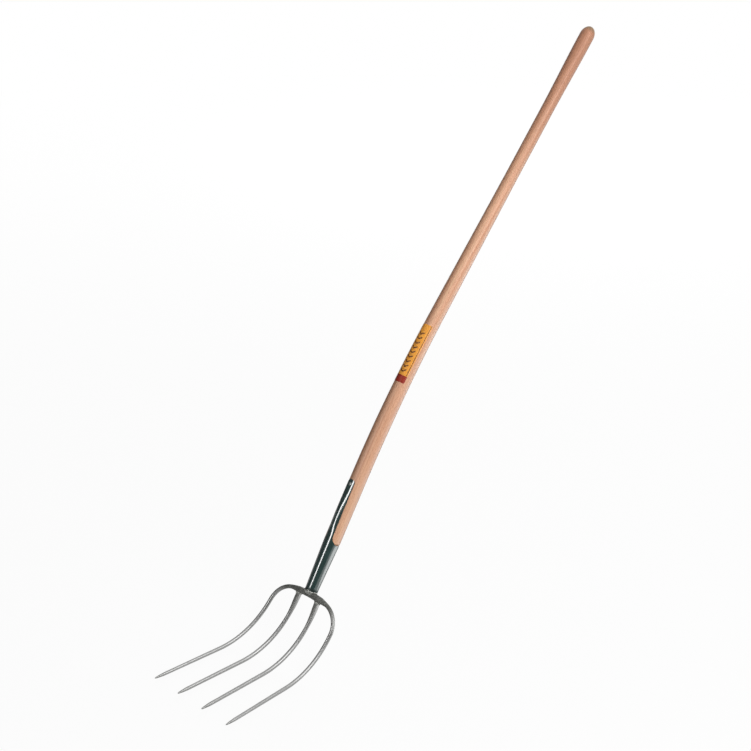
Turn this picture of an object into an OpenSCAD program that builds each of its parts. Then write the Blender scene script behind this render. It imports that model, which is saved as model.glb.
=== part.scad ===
// Four-tined manure fork with a long wooden handle, in the pose in which it is used:
// the tines lie flat on the ground along -Y and the handle rises towards +Y.
// The origin is on the ground, under the middle of the whole tool.

/* [Handle] */
// Length of the wooden handle along its axis
handle_len = 1355; // [1150:5:1600]
// Distance from the middle of the bow up to the handle's lower end
handle_foot = 25; // [18:1:40]
// Thickest diameter, above the socket
belly_d = 35.8; // [32:0.2:42]
// Distance from the bow up to where the thick part starts to taper
belly_to = 400; // [350:10:550]
// Diameter of the grip
grip_d = 28.2; // [25:0.2:33]
// Length of the grip
grip_len = 170; // [150:10:350]
// Diameter of the knob at the top end
knob_d = 32.6; // [30:0.2:40]
// Length over which the grip swells into the knob
flare_len = 170; // [80:5:200]
// Length of the knob with its domed end
knob_len = 40; // [32:1:60]
// Height of the domed end
dome_len = 23; // [10:1:28]
// Angle of the handle's gentle bend towards the back
handle_bend = 8.2; // [1:0.2:20]
// Length of the bent stretch, which starts at the tip of the tongue
bend_len = 400; // [200:10:500]
// Length above the socket's rim over which the handle swells to its thickest
swell_len = 20; // [12:1:60]

/* [Socket] */
// Outer diameter of the socket where it meets the bow
socket_foot_d = 28; // [25:0.1:31]
// Outer diameter of the socket at its rim
socket_rim_d = 35.5; // [32:0.1:38]
// Distance from the middle of the bow up to the rim
socket_rim = 116.5; // [80:0.5:140]
// Depth to which the socket's end is notched over the bow
socket_sink = 1.5; // [1:0.1:3]
// Thickness of the socket's sheet
socket_wall = 1.8; // [1.2:0.1:2.6]
// Clearance between the wood and the socket
socket_fit = 0.2; // [0.1:0.05:0.4]
// Length of the tongue above the rim
tongue_len = 142.5; // [100:0.5:180]
// Width of the tongue at its root, measured round the sheet
tongue_w = 21.2; // [20:0.2:26]
// Width of the tongue where its rounded tip begins
tongue_tip_w = 19.8; // [12:0.2:20]
// Height of the tongue's rounded tip
tongue_tip_len = 6.5; // [3:0.5:10]
// Radius of the curves from the rim up into the tongue
tongue_fillet = 17; // [8:1:24]

/* [Bow and tines] */
// Slope of the socket above the ground, with the tines lying flat
socket_rise = 56.5; // [45:0.5:70]
// Radius of the bow's gently arched crown
crown_r = 400; // [250:5:800]
// Half length of the crown along its arc
crown_half = 48; // [42:1:60]
// Radius of the shoulders, where the bow turns into the outer tines
shoulder_r = 53; // [40:1:65]
// Outward splay of the outer tines
splay = 3.25; // [0:0.25:8]
// Length of the tines, measured along their curve from the crown to the tips
tine_len = 372.5; // [330:0.5:450]
// Distance below the crown at which the tines start to curve forward
curve_from = 32; // [10:1:45]
// Radius of the tines' forward curve
curve_r = 177; // [120:1:200]
// Height of the bow in its middle
bow_h = 13.5; // [11:0.1:16]
// Thickness of the bow from front to back in its middle
bow_t = 15; // [12:0.1:18]
// Length over which the bow thins into each outer tine
bow_taper = 30; // [20:1:80]
// Diameter of the tines
tine_d = 9.2; // [7:0.1:11]
// Diameter of the tines where their points begin
tip_d = 7.8; // [5:0.1:9]
// Length of the points
point_len = 24; // [10:1:40]
// Diameter of the blunt end of the points
point_d = 1.6; // [1:0.1:3]
// Distance from the middle of the bow out to the root of each inner tine
inner_root = 28; // [22:0.5:34]
// Width of the square root of an inner tine
root_w = 10.4; // [9:0.1:12]
// Length over which the square root rounds off into the tine
root_taper = 55; // [30:1:80]

/* [Welds, nail and label] */
// Length of the weld beads along the socket and the inner tines
weld_leg = 4; // [2:0.1:6]
// Thickness of the weld beads
weld_bead = 1.3; // [0.8:0.1:2]
// Diameter of the nail's head
nail_head_d = 7.5; // [6:0.1:9]
// Height of the nail's domed head
nail_head_h = 1.8; // [1:0.1:3]
// Diameter of the nail's shank
nail_d = 3.4; // [2.5:0.1:4.5]
// Length of the nail below its head, with its point
nail_len = 26; // [15:1:32]
// Clearance round the nail in the tongue
nail_clear = 0.15; // [0.1:0.05:0.3]
// Distance of the nail from the tip of the tongue
nail_edge = 10.4; // [6:0.1:16]
// Length of the label along the handle
label_len = 136; // [80:1:200]
// Width of the label round the handle
label_w = 32; // [20:0.5:45]
// Distance from the tip of the tongue up to the label
label_gap = 227; // [80:1:300]
// Thickness of the label
label_t = 0.25; // [0.15:0.05:0.5]
// Thickness of the glue under the label
label_glue = 0.1; // [0.1:0.05:0.2]

/* [Hidden] */
$fn = 64;

wood_colour = [0.83, 0.60, 0.46];
paint_colour = [0.11, 0.24, 0.24];
steel_colour = [0.53, 0.53, 0.51];
weld_colour = [0.42, 0.41, 0.39];
nail_colour = [0.62, 0.63, 0.62];
label_colour = [0.93, 0.70, 0.16];

// Sides of the handle's rings and of the tines' rings
handle_sides = 32;
tine_sides = 14;
label_sides = 12;

// Squareness of a section: 2 is an ellipse, larger is nearer to a rectangle
round_section = 2;
bow_section = 4;
root_section = 6;

// Room that a cutting shape takes beyond what it cuts
margin = 1;

function radians(angle) = angle * PI / 180;
function degrees(angle) = angle * 180 / PI;
function clamp01(x) = min(1, max(0, x));
// Straight and smooth change from a to b as x goes from x0 to x1
function taper(a, b, x0, x1, x) = a + (b - a) * clamp01((x - x0) / (x1 - x0));
function ease(a, b, x0, x1, x) =
    let (k = clamp01((x - x0) / (x1 - x0))) a + (b - a) * k * k * (3 - 2 * k);
// Even stations from a up to, but not including, b
function span(a, b, steps) = [for (i = [0:steps - 1]) a + (b - a) * i / steps];

// The tool's own coordinates while it is shaped: X to the right, Y to the back, Z up the socket,
// with the middle of the bow at zero. The tines leave the bow downward and curve to the front.

// Developed outline of the outer bow's centre line: u across, s down from the crown, by bar length q
crown_turn = degrees(crown_half / crown_r);
tine_turn = 90 - splay;
shoulder_arc = shoulder_r * radians(tine_turn - crown_turn);
shoulder_end = crown_half + shoulder_arc;
crown_end_u = crown_r * sin(crown_turn);
crown_end_s = crown_r * (1 - cos(crown_turn));
shoulder_end_u = crown_end_u + shoulder_r * (sin(tine_turn) - sin(crown_turn));
shoulder_end_s = crown_end_s + shoulder_r * (cos(crown_turn) - cos(tine_turn));
curve_end = curve_from + curve_r * radians(socket_rise);
tip_q = shoulder_end + (tine_len - shoulder_end_s) / sin(tine_turn);
heel_q = shoulder_end + (curve_end - shoulder_end_s) / sin(tine_turn);
outer_tip_u = shoulder_end_u + (tip_q - shoulder_end) * cos(tine_turn);

function turn_at(q) = q < crown_half ? degrees(q / crown_r)
    : q < shoulder_end ? crown_turn + degrees((q - crown_half) / shoulder_r)
    : tine_turn;
function across_at(q) = q < crown_half ? crown_r * sin(turn_at(q))
    : q < shoulder_end ? crown_end_u + shoulder_r * (sin(turn_at(q)) - sin(crown_turn))
    : shoulder_end_u + (q - shoulder_end) * cos(tine_turn);
function down_at(q) = q < crown_half ? crown_r * (1 - cos(turn_at(q)))
    : q < shoulder_end ? crown_end_s + shoulder_r * (cos(crown_turn) - cos(turn_at(q)))
    : shoulder_end_s + (q - shoulder_end) * sin(tine_turn);

// Side view of the tines: straight down, one arc forward, then straight to the tips
function lean(s) = degrees(clamp01((s - curve_from) / (curve_end - curve_from)) * radians(socket_rise));
function sheet_point(u, s) =
    let (a = lean(s),
         before = min(s, curve_from),
         after = max(s - curve_end, 0))
    [u,
     -(curve_r * (1 - cos(a)) + after * sin(a)),
     -(before + curve_r * sin(a) + after * cos(a))];
function sheet_down(s) = [0, -sin(lean(s)), -cos(lean(s))];
function sheet_front(s) = [0, -cos(lean(s)), sin(lean(s))];

// One ring of a bar: w across it within the sheet of the tines, t through the sheet
function power(x, section) = sign(x) * pow(abs(x), 2 / section);
function bar_ring(u, s, turn, w, t, section) =
    let (centre = sheet_point(u, s),
         inward = [-sin(turn), 0, 0] + cos(turn) * sheet_down(s),
         front = sheet_front(s))
    [for (j = [0:tine_sides - 1])
        let (angle = 360 * (j + 0.5) / tine_sides)
        centre + inward * w / 2 * power(cos(angle), section) + front * t / 2 * power(sin(angle), section)];

// Diameter of a tine near its end, by the distance left to the tip and the length of its straight run
function run_d(left, run) =
    left > run ? tine_d
    : left > point_len ? tip_d + (tine_d - tip_d) * (left - point_len) / (run - point_len)
    : point_d + (tip_d - point_d) * sqrt(left / point_len);

// Triangles over a run of rings with the same number of points each, closed at both ends
module skin(rings) {
    count = len(rings[0]);
    last = len(rings) - 1;
    sides = [for (i = [0:last - 1], j = [0:count - 1])
        let (a = i * count + j,
             b = i * count + (j + 1) % count)
        each [[a, b, b + count], [a, b + count, a + count]]];
    foot_cap = [for (j = [count - 1:-1:0]) j];
    end_cap = [for (j = [0:count - 1]) last * count + j];
    polyhedron(points = [for (ring = rings) each ring], faces = concat(sides, [foot_cap, end_cap]));
}

// Outer bow
crown_steps = 12;
shoulder_steps = 14;
curve_steps = 14;
run_steps = 2;
point_steps = 5;
point_q = tip_q - point_len;
half_stations = concat(
    span(0, crown_half, crown_steps),
    span(crown_half, shoulder_end, shoulder_steps),
    span(shoulder_end, heel_q, curve_steps),
    span(heel_q, point_q, run_steps),
    span(point_q, tip_q, point_steps),
    [tip_q]);
half_count = len(half_stations);
bow_stations = concat([for (i = [half_count - 1:-1:1]) -half_stations[i]], half_stations);
bow_taper_end = inner_root + bow_taper;

function bow_ring(q) =
    let (r = abs(q),
         run = tip_q - heel_q,
         end_d = run_d(tip_q - r, run),
         w = r < bow_taper_end ? ease(bow_h, tine_d, inner_root, bow_taper_end, r) : end_d,
         t = r < bow_taper_end ? ease(bow_t, tine_d, inner_root, bow_taper_end, r) : end_d,
         section = ease(bow_section, round_section, inner_root, bow_taper_end, r))
    bar_ring(sign(q) * across_at(r), down_at(r), sign(q) * turn_at(r), w, t, section);

module bow_bar(stations) {
    skin([for (q = stations) bow_ring(q)]);
}

// The middle of the bow, which the pieces that stand on it are cut to
module bow_middle() {
    bow_bar([for (q = bow_stations) if (abs(q) <= crown_half) q]);
}

// Inner tines
inner_tip_u = outer_tip_u / 3;
inner_root_s = crown_r - sqrt(crown_r * crown_r - inner_root * inner_root);
inner_root_end = inner_root_s + bow_h / 2;
inner_point = tine_len - point_len;
root_steps = 7;
inner_stations = concat(
    [inner_root_s],
    span(inner_root_end, inner_root_end + root_taper, root_steps),
    span(inner_root_end + root_taper, curve_end, curve_steps),
    span(curve_end, inner_point, run_steps),
    span(inner_point, tine_len, point_steps),
    [tine_len]);

function inner_u(s) =
    inner_root + (inner_tip_u - inner_root) * (s - inner_root_s) / (tine_len - inner_root_s);
inner_turn = 90 - atan((inner_tip_u - inner_root) / (tine_len - inner_root_s));

function inner_size(s) = s < inner_root_end + root_taper
    ? ease(root_w, tine_d, inner_root_end, inner_root_end + root_taper, s)
    : run_d(tine_len - s, tine_len - curve_end);
function inner_section(s) =
    ease(root_section, round_section, inner_root_end, inner_root_end + root_taper, s);

// An inner tine on the right side, made larger all round by grow(s)
function inner_ring(s, grow) =
    let (size = inner_size(s) + 2 * grow)
    bar_ring(inner_u(s), s, inner_turn, size, size, inner_section(s));
module inner_bar() {
    skin([for (s = inner_stations) inner_ring(s, 0)]);
}
module inner_tine() {
    difference() {
        inner_bar();
        bow_middle();
    }
}

// The bead round the root of an inner tine thins towards its end
bead_steps = 3;
bead_end = inner_root_end + weld_leg;
bead_thin = weld_bead / 4;
bead_stations = concat(span(inner_root_s + margin, bead_end, bead_steps), [bead_end]);
module tine_bead() {
    difference() {
        skin([for (s = bead_stations)
            inner_ring(s, ease(weld_bead, bead_thin, inner_root_end, bead_end, s))]);
        inner_bar();
        bow_middle();
    }
}

// Handle and socket, by distance t up the axis from the middle of the bow
handle_top = handle_foot + handle_len;
dome_from = handle_top - dome_len;
knob_from = handle_top - knob_len;
grip_to = knob_from - flare_len;
grip_from = grip_to - grip_len;
tongue_top = socket_rim + tongue_len;
socket_foot = bow_h / 2 - socket_sink;
label_from = tongue_top + label_gap;
label_to = label_from + label_len;
bend_r = bend_len / radians(handle_bend);

function socket_r(t) =
    (socket_foot_d + (socket_rim_d - socket_foot_d) * (t - socket_foot) / (socket_rim - socket_foot)) / 2;
function cone_r(t) = socket_r(t) - socket_wall - socket_fit;
function wood_r(t) =
    t < socket_rim ? cone_r(t)
    : t < belly_to ? ease(cone_r(socket_rim), belly_d / 2, socket_rim, socket_rim + swell_len, t)
    : t < grip_to ? taper(belly_d / 2, grip_d / 2, belly_to, grip_from, t)
    : t < dome_from ? ease(grip_d / 2, knob_d / 2, grip_to, knob_from, t)
    : knob_d / 2 * sqrt(max(0, 1 - pow((t - dome_from) / dome_len, 2)));

// The axis is straight up to the tip of the tongue, then bends to the back in one arc
function bend_at(t) = handle_bend * clamp01((t - tongue_top) / bend_len);
function axis_point(t) =
    let (b = bend_at(t),
         after = max(t - tongue_top - bend_len, 0))
    [0,
     bend_r * (1 - cos(b)) + after * sin(b),
     min(t, tongue_top) + bend_r * sin(b) + after * cos(b)];
function axis_front(t) = [0, -cos(bend_at(t)), sin(bend_at(t))];
axis_left = [-1, 0, 0];

// Stations of the handle's rings, with one at the rim, at the end of the swell, at the tip of the tongue
// and at each end of the label
cone_steps = 6;
swell_steps = 6;
tongue_steps = 6;
gap_steps = 8;
label_steps = 6;
shaft_steps = 20;
knob_steps = 10;
dome_steps = 6;
shaft_stations = concat(
    span(handle_foot, socket_rim, cone_steps),
    span(socket_rim, socket_rim + swell_len, swell_steps),
    span(socket_rim + swell_len, tongue_top, tongue_steps),
    span(tongue_top, label_from, gap_steps),
    span(label_from, label_to, label_steps),
    span(label_to, grip_to, shaft_steps),
    span(grip_to, dome_from, knob_steps));
// The dome's rings lie at even angles and stop short of its centre
dome_stations = [for (i = [0:dome_steps]) dome_from + dome_len * sin(90 * i / (dome_steps + 0.5))];
handle_stations = concat(shaft_stations, dome_stations);

function arc_ring(t, r, angles) =
    [for (angle = angles) axis_point(t) + r * (cos(angle) * axis_front(t) + sin(angle) * axis_left)];
handle_angles = span(0, 360, handle_sides);

// The inside of the socket follows the handle's rings, with the clearance between them
wood_table = [for (t = shaft_stations) [t, wood_r(t)]];
seat_stations = concat(
    [socket_foot],
    [for (t = shaft_stations) if (t < tongue_top) t],
    [tongue_top]);
function seat_r(t) = socket_fit + (t < handle_foot ? cone_r(t) : lookup(t, wood_table));

// The nail goes in square to the wood, with its head on a flat sunk into the tongue
nail_t = tongue_top - nail_edge;
nail_seat_d = nail_head_d + 2 * nail_clear;
nail_flat_r = sqrt(pow(seat_r(nail_t) + socket_wall, 2) - pow(nail_seat_d / 2, 2)) - nail_clear;
nail_point = nail_d;
dome_r = (pow(nail_head_d / 2, 2) + pow(nail_head_h, 2)) / (2 * nail_head_h);

module at_nail() {
    translate([0, -nail_flat_r, nail_t])
        rotate([90, 0, 0])
            children();
}
module nail_shank() {
    translate([0, 0, nail_point - nail_len])
        cylinder(d = nail_d, h = nail_len - nail_point);
    translate([0, 0, -nail_len])
        cylinder(d1 = 0, d2 = nail_d, h = nail_point);
}

module socket_shell() {
    inside = [for (t = seat_stations) [seat_r(t), t]];
    outside = [for (i = [len(seat_stations) - 1:-1:0])
        [seat_r(seat_stations[i]) + socket_wall, seat_stations[i]]];
    rotate_extrude()
        polygon(concat(inside, outside));
}

// Upper edge of the sheet on the right side, as [angle from the front, height]: the tongue's rounded tip,
// its nearly straight side, the curve down into the rim, and the level rim round to the back
tip_steps = 8;
fillet_steps = 8;
rim_steps = 6;
tongue_r = belly_d / 2 + socket_fit + socket_wall;
tongue_half = degrees(tongue_w / 2 / tongue_r);
tongue_tip_half = degrees(tongue_tip_w / 2 / tongue_r);
rim_from = tongue_half + degrees(tongue_fillet / (socket_rim_d / 2));
tip_base = tongue_top - tongue_tip_len;
edge_right = concat(
    [for (i = [0:tip_steps])
        let (a = 90 * i / tip_steps)
        [tongue_tip_half * sin(a), tip_base + tongue_tip_len * cos(a)]],
    [for (i = [0:fillet_steps])
        let (a = 90 * i / fillet_steps)
        [tongue_half + (rim_from - tongue_half) * (1 - cos(a)), socket_rim + tongue_fillet * (1 - sin(a))]],
    [for (i = [1:rim_steps]) [rim_from + (180 - rim_from) * i / rim_steps, socket_rim]]);
edge_count = len(edge_right);
socket_edge = concat(edge_right, [for (i = [edge_count - 2:-1:1]) [-edge_right[i][0], edge_right[i][1]]]);

// What the sheet keeps: a thick ring whose upper face follows that edge, square to the sheet
keep_in = socket_foot_d / 4;
keep_out = belly_d;
function keep_ring(angle, top) =
    let (out = [sin(angle), -cos(angle), 0])
    [keep_in * out, keep_out * out, keep_out * out + [0, 0, top], keep_in * out + [0, 0, top]];
module keep_block() {
    count = len(socket_edge);
    corners = 4;
    faces = [for (i = [0:count - 1], j = [0:corners - 1])
        let (next = (i + 1) % count,
             step = (j + 1) % corners)
        each [[i * corners + j, i * corners + step, next * corners + step],
              [i * corners + j, next * corners + step, next * corners + j]]];
    polyhedron(points = [for (edge = socket_edge) each keep_ring(edge[0], edge[1])], faces = faces);
}

// Welded end of the socket: the bead fills the corner down to the front and back of the bow
weld_under = socket_foot - (socket_foot_d - bow_t) / 2;
weld_top = socket_foot + weld_leg;
module weld_ring() {
    rotate_extrude()
        polygon([[0, weld_under], [bow_t / 2, weld_under], [socket_foot_d / 2 + weld_bead, socket_foot],
                 [socket_r(weld_top), weld_top], [socket_foot_d / 2, socket_foot], [0, socket_foot]]);
}

// Pose: the straight run of the tines lies flat on the ground and the whole tool is centred over zero
heel = sheet_point(0, curve_end);
tip = sheet_point(0, tine_len);
dome_centre = axis_point(dome_from);
upper_rise = socket_rise - handle_bend;
function forward(p) = p[1] * sin(socket_rise) + p[2] * cos(socket_rise);
function height(p) = p[2] * sin(socket_rise) - p[1] * cos(socket_rise);
top_y = forward(dome_centre)
    + sqrt(pow(dome_len * cos(upper_rise), 2) + pow(knob_d / 2 * sin(upper_rise), 2));
middle_y = (top_y + forward(tip)) / 2;
module in_use() {
    translate([0, -middle_y, tine_d / 2 - height(heel)])
        rotate([socket_rise - 90, 0, 0])
            children();
}

module handle() {
    color(wood_colour)
        in_use()
            difference() {
                skin([for (t = handle_stations) arc_ring(t, wood_r(t), handle_angles)]);
                at_nail()
                    nail_shank();
            }
}

module socket() {
    color(paint_colour)
        in_use()
            difference() {
                intersection() {
                    socket_shell();
                    keep_block();
                }
                bow_middle();
                at_nail() {
                    cylinder(d = nail_seat_d, h = nail_head_h);
                    translate([0, 0, -nail_len])
                        cylinder(d = nail_d + 2 * nail_clear, h = nail_len);
                }
            }
}

module outer_bow() {
    color(steel_colour)
        in_use()
            bow_bar(bow_stations);
}

module inner_tine_left() {
    color(steel_colour)
        in_use()
            mirror([1, 0, 0])
                inner_tine();
}

module inner_tine_right() {
    color(steel_colour)
        in_use()
            inner_tine();
}

module tine_welds() {
    color(weld_colour)
        in_use()
            for (side = [0, 1])
                mirror([side, 0, 0])
                    tine_bead();
}

module socket_weld() {
    color(weld_colour)
        in_use()
            difference() {
                weld_ring();
                bow_middle();
            }
}

module tongue_nail() {
    color(nail_colour)
        in_use()
            at_nail() {
                nail_shank();
                rotate_extrude()
                    intersection() {
                        translate([0, nail_head_h - dome_r])
                            circle(r = dome_r);
                        square([nail_head_d / 2, nail_head_h]);
                    }
            }
}

module label() {
    stations = concat(span(label_from, label_to, label_steps), [label_to]);
    color(label_colour)
        in_use()
            skin([for (t = stations)
                let (r = wood_r(t) + label_glue,
                     half = degrees(label_w / 2 / r),
                     angles = [for (i = [0:label_sides]) half - 2 * half * i / label_sides],
                     back_angles = [for (i = [label_sides:-1:0]) angles[i]])
                concat(arc_ring(t, r, angles), arc_ring(t, r + label_t, back_angles))]);
}

handle();
socket();
outer_bow();
inner_tine_left();
inner_tine_right();
tine_welds();
socket_weld();
tongue_nail();
label();
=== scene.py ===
import math

import bmesh
import bpy
import numpy as np
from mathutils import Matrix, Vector


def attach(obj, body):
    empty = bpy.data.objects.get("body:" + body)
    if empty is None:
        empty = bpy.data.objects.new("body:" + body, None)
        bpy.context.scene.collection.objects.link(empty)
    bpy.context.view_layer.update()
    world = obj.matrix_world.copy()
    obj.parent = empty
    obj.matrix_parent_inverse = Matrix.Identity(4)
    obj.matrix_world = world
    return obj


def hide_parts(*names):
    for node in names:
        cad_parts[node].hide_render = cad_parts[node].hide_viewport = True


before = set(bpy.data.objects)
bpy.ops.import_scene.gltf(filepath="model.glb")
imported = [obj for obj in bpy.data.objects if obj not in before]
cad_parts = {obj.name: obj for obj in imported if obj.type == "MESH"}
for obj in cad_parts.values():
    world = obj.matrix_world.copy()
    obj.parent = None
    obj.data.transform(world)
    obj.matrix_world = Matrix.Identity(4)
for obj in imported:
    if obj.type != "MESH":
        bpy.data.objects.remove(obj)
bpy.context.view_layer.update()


# Outer bow: one bar of forged steel. Its middle is the squarish, slightly arched crown under the socket, and
# its ends are drawn out round and thin, bent down over both shoulders and curved forward as the outer tines.
# The crown keeps its dark fire scale, and the drawn ends are ground to a bare grey.
socket_rise = math.radians(56.5)
bow_place = (0.0, -269.732, 110.591)
crown_r = 400.0
crown_half = 48.0
shoulder_r = 53.0
splay = math.radians(3.25)
tine_len = 372.5
curve_from = 32.0
curve_r = 177.0
bow_h = 13.5
bow_t = 15.0
bow_taper_from = 28.0
bow_taper_to = 58.0
tine_d = 9.2
tip_d = 7.8
point_len = 24.0
point_d = 1.6
point_cap = 1.0
cap_least = 0.01
crown_square = 4.0
round_section = 2.0
crown_dents = 0.4
tine_dents = 0.1
ground_off = 0.12
drawn_off = 0.35
drawn_off_from = 120.0
drawn_off_to = 220.0
wear_limit = 0.125
crown_scale = 0.7
crown_scale_from = 36.0
crown_scale_to = 105.0
shoulder_scale = 0.38
shoulder_scale_from = 110.0
shoulder_scale_to = 200.0
tip_scale = 0.4
tip_scale_from = 6.0
tip_scale_to = 45.0
sharp_edge = math.radians(50)
curve_end = curve_from + curve_r * socket_rise
crown_turn = crown_half / crown_r
shoulder_end = crown_half + shoulder_r * (math.pi / 2 - splay - crown_turn)


def in_use(points):
    """Points of the tool in mm (right, back, up the socket), in m as it lies with its tines on the ground."""
    right, back, up = np.moveaxis(np.asarray(points, float), -1, 0)
    along = back * math.sin(socket_rise) + up * math.cos(socket_rise) + bow_place[1]
    height = up * math.sin(socket_rise) - back * math.cos(socket_rise) + bow_place[2]
    return np.stack([right + bow_place[0], along, height], -1) / 1000


def share(value, start, end):
    """How far a value has come from start to end, between 0 and 1."""
    return np.clip((np.asarray(value, float) - start) / (end - start), 0, 1)


def ease(value, start, end, first, last):
    """A smooth change from first to last between start and end."""
    part = share(value, start, end)
    return first + (last - first) * part * part * (3 - 2 * part)


def taper(value, start, end, first, last):
    """An even change from first to last between start and end."""
    return first + (last - first) * share(value, start, end)


def superround(turn, power):
    """A round (power 2) to nearly square (power 6) section of width 2."""
    def pulled(x):
        return np.sign(x) * np.abs(x) ** (2 / power)
    return pulled(np.cos(turn)), pulled(np.sin(turn))


def tine_sheet(across, down):
    """The curved sheet that all four tines lie in: a point of it, its way down and its way to the front."""
    lean = share(down, curve_from, curve_end) * socket_rise
    after = np.maximum(down - curve_end, 0)
    front = curve_r * (1 - np.cos(lean)) + after * np.sin(lean)
    drop = np.minimum(down, curve_from) + curve_r * np.sin(lean) + after * np.cos(lean)
    none = np.zeros_like(lean)
    point = np.stack([across + none, -front, -drop], -1)
    downward = np.stack([none, -np.sin(lean), -np.cos(lean)], -1)
    forward = np.stack([none, -np.cos(lean), np.sin(lean)], -1)
    return point, downward, forward


def bow_line(run):
    """The bow's plan by the length of bar from its middle: across, down the sheet, and its turn so far."""
    side = np.sign(run)
    far = np.abs(run)
    arch = np.minimum(far, crown_half) / crown_r
    bend = np.clip(far - crown_half, 0, shoulder_end - crown_half) / shoulder_r
    straight = np.maximum(far - shoulder_end, 0)
    turn = arch + bend
    across = crown_r * np.sin(arch) + shoulder_r * (np.sin(turn) - np.sin(arch))
    down = crown_r * (1 - np.cos(arch)) + shoulder_r * (np.cos(arch) - np.cos(turn))
    return side * (across + straight * math.sin(splay)), down + straight * math.cos(splay), side * turn


def drawn_d(left, run):
    """The diameter of a drawn tine by the length left to its tip: even, then thinner, then a round point."""
    body = taper(left, point_len, run, tip_d, tine_d)
    nose = point_d + (tip_d - point_d) * np.sqrt(share(left, 0, point_len))
    cap = 2 * np.sqrt(np.clip(point_cap ** 2 - np.clip(point_cap - left, 0, None) ** 2, cap_least, None))
    return np.minimum(np.where(left > point_len, body, nose), np.where(left < point_cap, cap, np.inf))


def dents(along, turn):
    """Shallow hammer marks between 0 and 1, the same in every run."""
    broad = np.sin(0.19 * along + 1.9 * np.sin(turn + 0.4)) + np.sin(0.11 * along - 2.3 * np.cos(turn) + 1.1)
    fine = np.sin(0.47 * along + 2.6 * np.sin(2 * turn + 0.9))
    return 0.5 + (broad + 0.6 * fine) / 5.2


def numbered(grid):
    """The numbers of a grid's points, row by row."""
    return np.arange(grid.shape[0] * grid.shape[1]).reshape(grid.shape[:2])


def patch(numbers):
    """Faces over a grid of point numbers."""
    corners = [numbers[:-1, :-1], numbers[:-1, 1:], numbers[1:, 1:], numbers[1:, :-1]]
    return np.stack(corners, -1).reshape(-1, 4).tolist()


def loft(rings):
    """Points and faces over a run of rings that have as many points each, closed at both ends."""
    numbers = numbered(rings)
    sides = patch(np.pad(numbers, ((0, 0), (0, 1)), "wrap"))
    return rings.reshape(-1, 3), [numbers[0, ::-1].tolist()] + sides + [numbers[-1].tolist()]


def build(name, points, faces, finish, marks):
    """A piece of the tool: a smooth mesh with its sharp edges kept, and marks that its finish reads."""
    mesh = bpy.data.meshes.new(name)
    mesh.from_pydata(in_use(points).tolist(), [], faces)
    work = bmesh.new()
    work.from_mesh(mesh)
    bmesh.ops.recalc_face_normals(work, faces=work.faces)
    work.to_mesh(mesh)
    work.free()
    for mark, values in marks.items():
        values = np.asarray(values, np.float32)
        if values.ndim == 1:
            mesh.attributes.new(mark, "FLOAT", "POINT").data.foreach_set("value", values)
        else:
            mesh.attributes.new(mark, "FLOAT_VECTOR", "POINT").data.foreach_set("vector", values.ravel())
    mesh.shade_smooth()
    mesh.set_sharp_from_angle(angle=sharp_edge)
    mesh.materials.append(finish.material)
    piece = bpy.data.objects.new(name, mesh)
    bpy.context.scene.collection.objects.link(piece)
    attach(piece, "root")
    return piece


def tone(red, green, blue):
    """A colour written as it looks, 0 to 255, for a shader's socket."""
    def linear(level):
        level = level / 255
        return level / 12.92 if level <= 0.04045 else ((level + 0.055) / 1.055) ** 2.4
    return (linear(red), linear(green), linear(blue), 1.0)


class Finish:
    """A material or surround of nodes. Plain values are set on the sockets, and outputs are linked."""

    def __init__(self, material):
        self.material = material
        self.material.use_nodes = True
        self.tree = self.material.node_tree
        self.surface = self.tree.nodes.get("Principled BSDF")

    def add(self, kind, inputs, **settings):
        node = self.tree.nodes.new("ShaderNode" + kind)
        for key, value in settings.items():
            setattr(node, key, value)
        self.fill(node, inputs)
        return node

    def fill(self, node, inputs):
        for key, value in inputs.items():
            if isinstance(value, bpy.types.NodeSocket):
                self.tree.links.new(value, node.inputs[key])
            else:
                node.inputs[key].default_value = value

    def mark(self, name):
        return self.add("Attribute", {}, attribute_name=name)

    def stretch(self, place, scale, offset=(0, 0, 0)):
        return self.add("Mapping", {"Vector": place, "Scale": scale, "Location": offset}).outputs["Vector"]

    def noise(self, place, scale=1.0, detail=2.0, rough=0.5, warp=0.0):
        node = self.add("TexNoise", {"Vector": place, "Scale": scale, "Detail": detail, "Roughness": rough,
                                     "Distortion": warp})
        return node.outputs["Fac"]

    def span(self, value, low, high, first=0.0, last=1.0):
        node = self.add("MapRange", {"Value": value, "From Min": low, "From Max": high, "To Min": first,
                                     "To Max": last}, interpolation_type="SMOOTHSTEP")
        return node.outputs["Result"]

    def reckon(self, kind, first, second):
        return self.add("Math", {0: first, 1: second}, operation=kind).outputs["Value"]

    def plus(self, base, extra, part):
        return self.reckon("ADD", base, self.reckon("MULTIPLY", extra, part))

    def blend(self, factor, first, second):
        return self.add("Mix", {0: factor, 6: first, 7: second}, data_type="RGBA").outputs[2]

    def bands(self, value, stops):
        node = self.add("ValToRGB", {"Fac": value})
        ramp = node.color_ramp.elements
        ramp[0].position, ramp[0].color = stops[0]
        ramp[1].position, ramp[1].color = stops[-1]
        for position, colour in stops[1:-1]:
            ramp.new(position).color = colour
        return node.outputs["Color"]

    def bump(self, height, strength, depth=0.0002):
        node = self.add("Bump", {"Height": height, "Strength": strength, "Distance": depth})
        return node.outputs["Normal"]


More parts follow.
